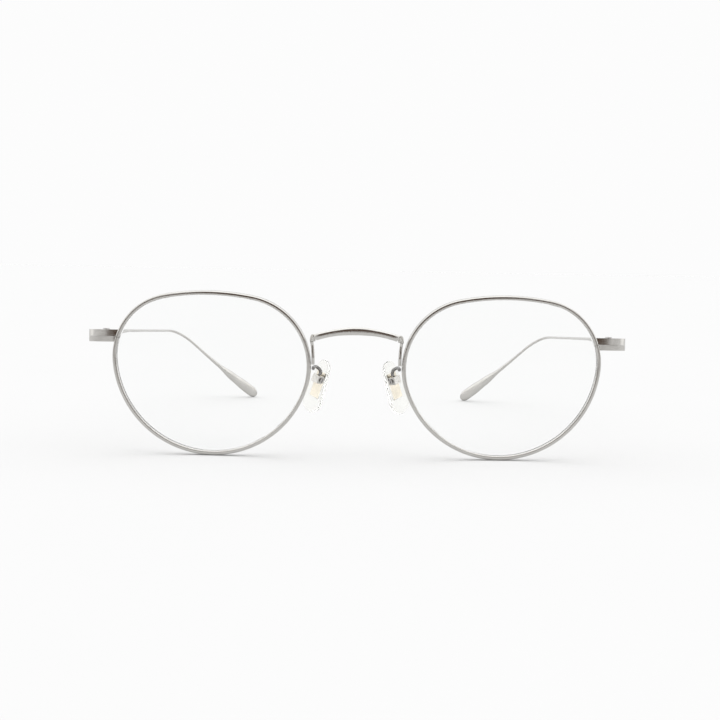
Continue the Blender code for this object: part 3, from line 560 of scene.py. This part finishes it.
def temple_distances():
    distances = [0.0]
    while distances[-1] < TEMPLE_LENGTH:
        near_tip = distances[-1] > TEMPLE_LENGTH - TIP_ROUND - TEMPLE_STEP
        distances.append(min(distances[-1] + (TIP_STEP if near_tip else TEMPLE_STEP), TEMPLE_LENGTH))
    return distances


def make_temple(side, label):
    point = Vector((BLOCK_INNER + TEMPLE_BUTT_THICK / 2, TEMPLE_START, 0))
    rings, grains = [], []
    walked = 0.0
    for distance in temple_distances():
        point = point + temple_direction((walked + distance) / 2) * (distance - walked)
        walked = distance
        height, thickness = temple_size(distance)
        below_top = height / 2 if distance < WIRE_START else WIRE_THICK / 2
        centre = point + Vector((0, 0, TEMPLE_TOP - below_top))
        roundness = BUTT_ROUND + (WIRE_ROUND - BUTT_ROUND) * ease(distance / WIRE_START)
        outline = rounded_box(height, thickness, roundness)
        ring = strap_ring(centre, temple_direction(distance), Vector((0, 0, 1)), outline)
        rings.append([on_side(side, corner) for corner in ring])
        grains.append([(distance, a, b) for a, b in outline])
    show(loft(rings, grains), f"temple_{label}_wire", f"temple_{label}", f"temple_{label}", "titanium",
         hinge_place(side, label))


# ---------------------------------------------------------------- nose pads

def make_pad_arm(side, label):
    centres = smooth_route([on_side(side, point) * MM for point in PAD_ARM_ROUTE], PAD_ARM_STEPS)
    walked = lengths(centres)
    outline = rounded_box(2 * PAD_ARM_RADIUS, 2 * PAD_ARM_RADIUS, 0.5)
    up = Vector((1, 0, 0))
    rings, grains = [], []
    for k, centre in enumerate(centres):
        along = (centres[min(k + 1, len(centres) - 1)] - centres[max(k - 1, 0)]).normalized()
        up = (up - along * up.dot(along)).normalized()
        rings.append(strap_ring(centre, along, up, outline))
        grains.append([(walked[k], a, b) for a, b in outline])
    show(loft(rings, grains), f"pad_arm_{label}_wire", f"pad_arm_{label}", "front", "dark_titanium", FRONT)


def drop_ring(centre, side, shrink, depth):
    """A drop-shaped ring, drawn in by shrink, at a depth through the pad."""
    lean = math.asin((PAD_LOW_RADIUS - PAD_HIGH_RADIUS) / (PAD_HIGH_Z - PAD_LOW_Z))
    ring = []
    for z, radius, start, end in ((PAD_HIGH_Z, PAD_HIGH_RADIUS, lean, math.pi - lean),
                                  (PAD_LOW_Z, PAD_LOW_RADIUS, math.pi - lean, 2 * math.pi + lean)):
        for k in range(PAD_ARC_STEPS + 1):
            angle = start + (end - start) * k / PAD_ARC_STEPS
            x, up = (radius - shrink) * math.cos(angle), z + (radius - shrink) * math.sin(angle)
            ring.append(centre + on_side(side, (x, depth, up)))
    return ring


def make_pad(side, label):
    """A clear pad with a pocket for its metal core."""
    centre = on_side(side, PAD_CENTRE)
    layers = [layer * MM for layer in smooth_route(PAD_LAYERS, PAD_LAYER_STEPS)]
    rings = [drop_ring(centre, side, layer.x, layer.y) for layer in layers]
    pad = show(loft(rings), f"nose_pad_{label}_soft", f"nose_pad_{label}", f"pad_{label}", "clear_pad")
    plate_back = PAD_CENTRE[1] - PAD_THICK / 2 + INSERT_GAP
    wide, _, high = (size + 2 * INSERT_GAP for size in INSERT_SIZE)
    pocket_front = plate_back + INSERT_SIZE[1] + INSERT_GAP
    middle = Matrix.Translation((side * INSERT_X, pocket_front - POCKET_DEEP / 2, INSERT_Z))
    cutter = bmesh.new()
    bmesh.ops.create_cube(cutter, size=1.0, matrix=middle @ Matrix.Diagonal((wide, POCKET_DEEP, high, 1)))
    shape = bpy.data.meshes.new("pocket")
    cutter.to_mesh(shape)
    cutter.free()
    pocket = bpy.data.objects.new("pocket", shape)
    bpy.context.scene.collection.objects.link(pocket)
    cut = pad.modifiers.new("pocket", "BOOLEAN")
    cut.operation = "DIFFERENCE"
    cut.object = pocket
    evaluated = pad.evaluated_get(bpy.context.evaluated_depsgraph_get())
    data = bpy.data.meshes.new_from_object(evaluated)
    pad.modifiers.clear()
    bpy.data.objects.remove(pocket, do_unlink=True)
    data.transform(pad_place(side))
    data.shade_smooth()
    data.set_sharp_from_angle(angle=SHARP_ANGLE)
    pad.data = data
    data.materials.clear()
    data.materials.append(MATERIALS["clear_pad"])
    pad.visible_diffuse = pad.visible_shadow = False


# ---------------------------------------------------------------- pieces from the CAD's own meshes

def fill_face(mesh, side, place):
    """Make an endpiece's front face full across, and lean it back below the seam."""
    to_hinge = place.inverted()
    across = (place.to_3x3() @ Vector((1, 0, 0))).normalized()
    for x in FACE_CUTS:
        bmesh.ops.bisect_plane(mesh, geom=mesh.verts[:] + mesh.edges[:] + mesh.faces[:], plane_no=across,
                               plane_co=place @ Vector((side * x, 0, 0)))
    for vert in mesh.verts:
        spot = to_hinge @ vert.co
        share = min(max((FACE_BACK - spot.y) / (FACE_BACK - FACE_FRONT), 0.0), 1.0)
        full = (side * spot.x - FACE_MIDDLE) ** 2 / (2 * FACE_RADIUS)
        spot.y += share * (FACE_LEAN * max(SEAM_Z - spot.z, 0.0) + full)
        vert.co = place @ spot


def soften_node(node, body, width, slot, full_side=0, place=None):
    """A CAD node's own shape with its edges rounded off, and for an endpiece its face filled out."""
    mesh = bmesh.new()
    mesh.from_mesh(frame["nodes"][node].data)
    bmesh.ops.remove_doubles(mesh, verts=mesh.verts, dist=SAME_PLACE)
    bmesh.ops.dissolve_limit(mesh, angle_limit=FLAT_ANGLE, verts=mesh.verts, edges=mesh.edges)
    for layer in list(mesh.verts.layers.float_vector):
        mesh.verts.layers.float_vector.remove(layer)
    if full_side:
        fill_face(mesh, full_side, place)
    grain = mesh.verts.layers.float_vector.new("grain")
    for vert in mesh.verts:
        vert[grain] = vert.co
    piece = show(mesh, node + "_finished", node, body, slot)
    bevel = piece.modifiers.new("edges", "BEVEL")
    bevel.width = width
    bevel.segments = EDGE_SEGMENTS
    bevel.limit_method = "ANGLE"
    bevel.angle_limit = EDGE_ANGLE
    bevel.harden_normals = True


# ---------------------------------------------------------------- floor, light and camera

def flat_sheet(name, corners, material):
    data = bpy.data.meshes.new(name)
    count = len(corners) // 2
    data.from_pydata(corners, [], [(2 * k, 2 * k + 1, 2 * k + 3, 2 * k + 2) for k in range(count - 1)])
    data.materials.append(material)
    sheet = bpy.data.objects.new(name, data)
    bpy.context.scene.collection.objects.link(sheet)
    return sheet


def make_stage():
    floor_material, tree, shader = new_material("floor", Roughness=FLOOR_ROUGH, Specular_IOR_Level=0.0)
    place = add_node(tree, "TexCoord").outputs["Object"]
    cloud = noise(tree, place, (FLOOR_CLOUD,) * 3, FLOOR_DETAIL)
    colour = blend_colours(tree, cloud, (FLOOR_COLOUR,) * 3, (FLOOR_COLOUR * FLOOR_LIGHTER,) * 3)
    tree.links.new(colour, shader.inputs["Base Color"])
    half = FLOOR_HALF
    flat_sheet("floor", [(-half, -half, 0), (half, -half, 0), (-half, half, 0), (half, half, 0)],
               floor_material)

    # A white room: even at the height of the eye, brighter above and at both sides, as under softboxes.
    world = bpy.data.worlds.new("white_room")
    world.use_nodes = True
    sky = world.node_tree
    parts = add_node(sky, "SeparateXYZ")
    sky.links.new(add_node(sky, "TexCoord").outputs["Generated"], parts.inputs[0])
    aside = add_node(sky, "Math")
    aside.operation = "ABSOLUTE"
    sky.links.new(parts.outputs["X"], aside.inputs[0])
    lower = add_node(sky, "Math")
    lower.operation = "MULTIPLY"
    lower.inputs[1].default_value = SIDE_SHARE
    sky.links.new(aside.outputs[0], lower.inputs[0])
    furthest = add_node(sky, "Math")
    furthest.operation = "MAXIMUM"
    sky.links.new(lower.outputs[0], furthest.inputs[0])
    sky.links.new(parts.outputs["Z"], furthest.inputs[1])
    bright = add_node(sky, "MapRange", From_Min=SOFT_FROM, From_Max=SOFT_TO, To_Min=WHITE, To_Max=SOFTBOX)
    bright.interpolation_type = "SMOOTHSTEP"
    sky.links.new(furthest.outputs[0], bright.inputs["Value"])
    sky.links.new(bright.outputs["Result"], sky.nodes["Background"].inputs["Strength"])
    sky.nodes["Background"].inputs["Color"].default_value = (1.0, 1.0, 1.0, 1.0)
    bpy.context.scene.world = world
    bpy.context.scene.view_settings.view_transform = "Standard"

    # A dark card that only reflections see. It lies on the floor from between the glasses and the camera
    # to well behind the camera, and then stands up.
    dark = bpy.data.materials.new("dark_card")
    dark.use_nodes = True
    dark.node_tree.nodes.clear()
    glow = add_node(dark.node_tree, "Emission", Color=CARD_COLOUR)
    output = add_node(dark.node_tree, "OutputMaterial")
    dark.node_tree.links.new(glow.outputs[0], output.inputs["Surface"])
    corners = []
    for ahead, up in ((CARD_START, CARD_LIFT), (CARD_BEND, CARD_LIFT), (CARD_BEND + CARD_LIFT, CARD_TOP)):
        corners += [(-CARD_HALF, FRONT_Y - ahead, up), (CARD_HALF, FRONT_Y - ahead, up)]
    card = flat_sheet("dark_card", corners, dark)
    card.visible_camera = card.visible_diffuse = card.visible_shadow = card.visible_transmission = False


def make_camera():
    forward = Vector((-math.sin(CAMERA_YAW), math.cos(CAMERA_YAW), 0))
    right = Vector((math.cos(CAMERA_YAW), math.sin(CAMERA_YAW), 0))
    up = Vector((0, 0, 1))
    place = Vector((0, FRONT_Y, CAMERA_HEIGHT)) - forward * CAMERA_DISTANCE + right * CAMERA_RIGHT
    view = forward * math.cos(CAMERA_PITCH) - up * math.sin(CAMERA_PITCH)
    above = up * math.cos(CAMERA_PITCH) + forward * math.sin(CAMERA_PITCH)
    x_axis = right * math.cos(CAMERA_ROLL) + above * math.sin(CAMERA_ROLL)
    y_axis = above * math.cos(CAMERA_ROLL) - right * math.sin(CAMERA_ROLL)
    data = bpy.data.cameras.new("camera")
    data.sensor_width = CAMERA_SENSOR
    data.lens = CAMERA_LENS
    data.clip_start, data.clip_end = CLIP_NEAR, CLIP_FAR
    camera = bpy.data.objects.new("camera", data)
    camera.matrix_world = Matrix.Translation(place) @ Matrix((x_axis, y_axis, -view)).transposed().to_4x4()
    bpy.context.scene.collection.objects.link(camera)
    bpy.context.scene.camera = camera


# ---------------------------------------------------------------- the glasses

make_bridge()
for side, label in SIDES:
    make_rim(side, label)
    make_lens(side, label)
    make_temple(side, label)
    make_pad_arm(side, label)
    make_pad(side, label)
    for kind, body, width, slot in SOFTENED:
        soften_node(f"{kind}_{label}", body if body == "front" else f"{body}_{label}", width, slot,
                    side if kind.startswith("endpiece") else 0, hinge_place(side, label))
make_stage()
make_camera()
